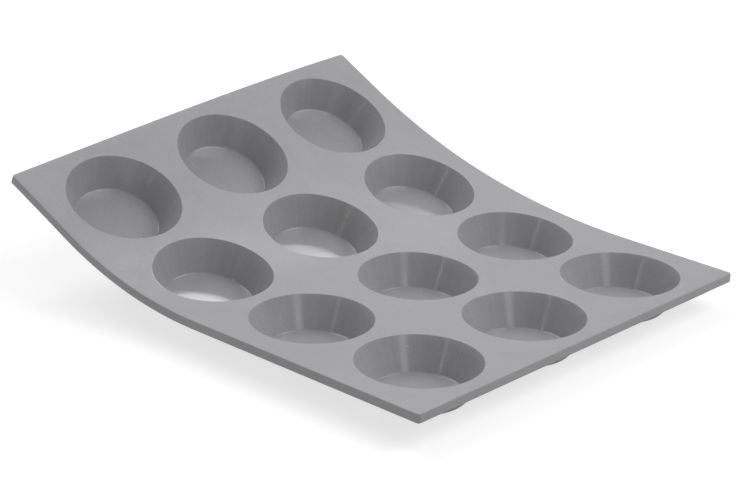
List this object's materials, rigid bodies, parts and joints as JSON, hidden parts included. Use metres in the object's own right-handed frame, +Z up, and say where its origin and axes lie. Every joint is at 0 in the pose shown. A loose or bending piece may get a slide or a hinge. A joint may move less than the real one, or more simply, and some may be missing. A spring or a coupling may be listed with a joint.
{
  "type": "silicone tartlet mould",
  "caption": "Flexible grey silicone baking mould: a thin deck with rows of shallow conical cups, held flexed with one end raised; its floors push up to free the tartlets.",
  "frame": {"origin": "under the middle of the mould's length and width, on the surface that its lowest cups stand on", "axes": "+X along the deck's length, away from the raised end; +Y across its width; +Z up, square to the flat end of the deck"},
  "size_m": [0.2044, 0.1802, 0.0548],
  "materials": {
    "silicone_deck": "satin moulded grey silicone",
    "silicone_cup": "smooth, slightly glossy moulded grey silicone"
  },
  "bodies": {
    "row_3": {"deck_row_3": "silicone_deck", "cup_wall_r3_c1": "silicone_cup", "cup_wall_r3_c2": "silicone_cup", "cup_wall_r3_c3": "silicone_cup", "flex_web_3_4": "silicone_deck"},
    "row_2": {"deck_row_2": "silicone_deck", "cup_wall_r2_c1": "silicone_cup", "cup_wall_r2_c2": "silicone_cup", "cup_wall_r2_c3": "silicone_cup", "flex_web_2_3": "silicone_deck"},
    "row_1": {"deck_row_1": "silicone_deck", "cup_wall_r1_c1": "silicone_cup", "cup_wall_r1_c2": "silicone_cup", "cup_wall_r1_c3": "silicone_cup", "flex_web_1_2": "silicone_deck"},
    "row_4": {"deck_row_4": "silicone_deck", "cup_wall_r4_c1": "silicone_cup", "cup_wall_r4_c2": "silicone_cup", "cup_wall_r4_c3": "silicone_cup"},
    "floor_r1_c1": {"cup_floor_r1_c1": "silicone_cup"},
    "floor_r1_c2": {"cup_floor_r1_c2": "silicone_cup"},
    "floor_r1_c3": {"cup_floor_r1_c3": "silicone_cup"},
    "floor_r2_c1": {"cup_floor_r2_c1": "silicone_cup"},
    "floor_r2_c2": {"cup_floor_r2_c2": "silicone_cup"},
    "floor_r2_c3": {"cup_floor_r2_c3": "silicone_cup"},
    "floor_r3_c1": {"cup_floor_r3_c1": "silicone_cup"},
    "floor_r3_c2": {"cup_floor_r3_c2": "silicone_cup"},
    "floor_r3_c3": {"cup_floor_r3_c3": "silicone_cup"},
    "floor_r4_c1": {"cup_floor_r4_c1": "silicone_cup"},
    "floor_r4_c2": {"cup_floor_r4_c2": "silicone_cup"},
    "floor_r4_c3": {"cup_floor_r4_c3": "silicone_cup"}
  },
  "joints": [
    {"name": "flex_2_3", "type": "hinge", "parent": "row_3", "child": "row_2", "pos_m": [-0.00269, 0.00102, 0.01391], "axis": [0.0016, 0.9997, 0.0254], "range_deg": [-58, 47], "deforming": ["flex_web_2_3"]},
    {"name": "flex_1_2", "type": "hinge", "parent": "row_2", "child": "row_1", "pos_m": [-0.05232, 0.00058, 0.02426], "axis": [0.0077, 0.9982, 0.0588], "range_deg": [-60, 45], "deforming": ["flex_web_1_2"]},
    {"name": "flex_3_4", "type": "hinge", "parent": "row_3", "child": "row_4", "pos_m": [0.04817, 0.00106, 0.01166], "axis": [0, -1, -0.0001], "range_deg": [-45, 60], "deforming": ["flex_web_3_4"]},
    {"name": "push_r1_c1", "type": "slide", "parent": "row_1", "child": "floor_r1_c1", "axis": [0.4644, -0.0645, 0.8833], "range_m": [0, 0.009], "stiffness_N_per_m": 300},
    {"name": "push_r1_c2", "type": "slide", "parent": "row_1", "child": "floor_r1_c2", "axis": [0.4731, -0.061, 0.8789], "range_m": [0, 0.009], "stiffness_N_per_m": 300},
    {"name": "push_r1_c3", "type": "slide", "parent": "row_1", "child": "floor_r1_c3", "axis": [0.4629, -0.0465, 0.8852], "range_m": [0, 0.009], "stiffness_N_per_m": 300},
    {"name": "push_r2_c1", "type": "slide", "parent": "row_2", "child": "floor_r2_c1", "axis": [0.1788, -0.0449, 0.9829], "range_m": [0, 0.009], "stiffness_N_per_m": 300},
    {"name": "push_r2_c2", "type": "slide", "parent": "row_2", "child": "floor_r2_c2", "axis": [0.226, -0.0511, 0.9728], "range_m": [0, 0.009], "stiffness_N_per_m": 300},
    {"name": "push_r2_c3", "type": "slide", "parent": "row_2", "child": "floor_r2_c3", "axis": [0.2535, -0.0474, 0.9662], "range_m": [0, 0.009], "stiffness_N_per_m": 300},
    {"name": "push_r3_c1", "type": "slide", "parent": "row_3", "child": "floor_r3_c1", "axis": [0, 0, 1], "range_m": [0, 0.009], "stiffness_N_per_m": 300},
    {"name": "push_r3_c2", "type": "slide", "parent": "row_3", "child": "floor_r3_c2", "axis": [0.0026, -0.001, 1], "range_m": [0, 0.009], "stiffness_N_per_m": 300},
    {"name": "push_r3_c3", "type": "slide", "parent": "row_3", "child": "floor_r3_c3", "axis": [0.0633, -0.018, 0.9978], "range_m": [0, 0.009], "stiffness_N_per_m": 300},
    {"name": "push_r4_c1", "type": "slide", "parent": "row_4", "child": "floor_r4_c1", "axis": [0, 0, 1], "range_m": [0, 0.009], "stiffness_N_per_m": 300},
    {"name": "push_r4_c2", "type": "slide", "parent": "row_4", "child": "floor_r4_c2", "axis": [0, 0, 1], "range_m": [0, 0.009], "stiffness_N_per_m": 300},
    {"name": "push_r4_c3", "type": "slide", "parent": "row_4", "child": "floor_r4_c3", "axis": [0, 0, 1], "range_m": [0, 0.009], "stiffness_N_per_m": 300}
  ]
}
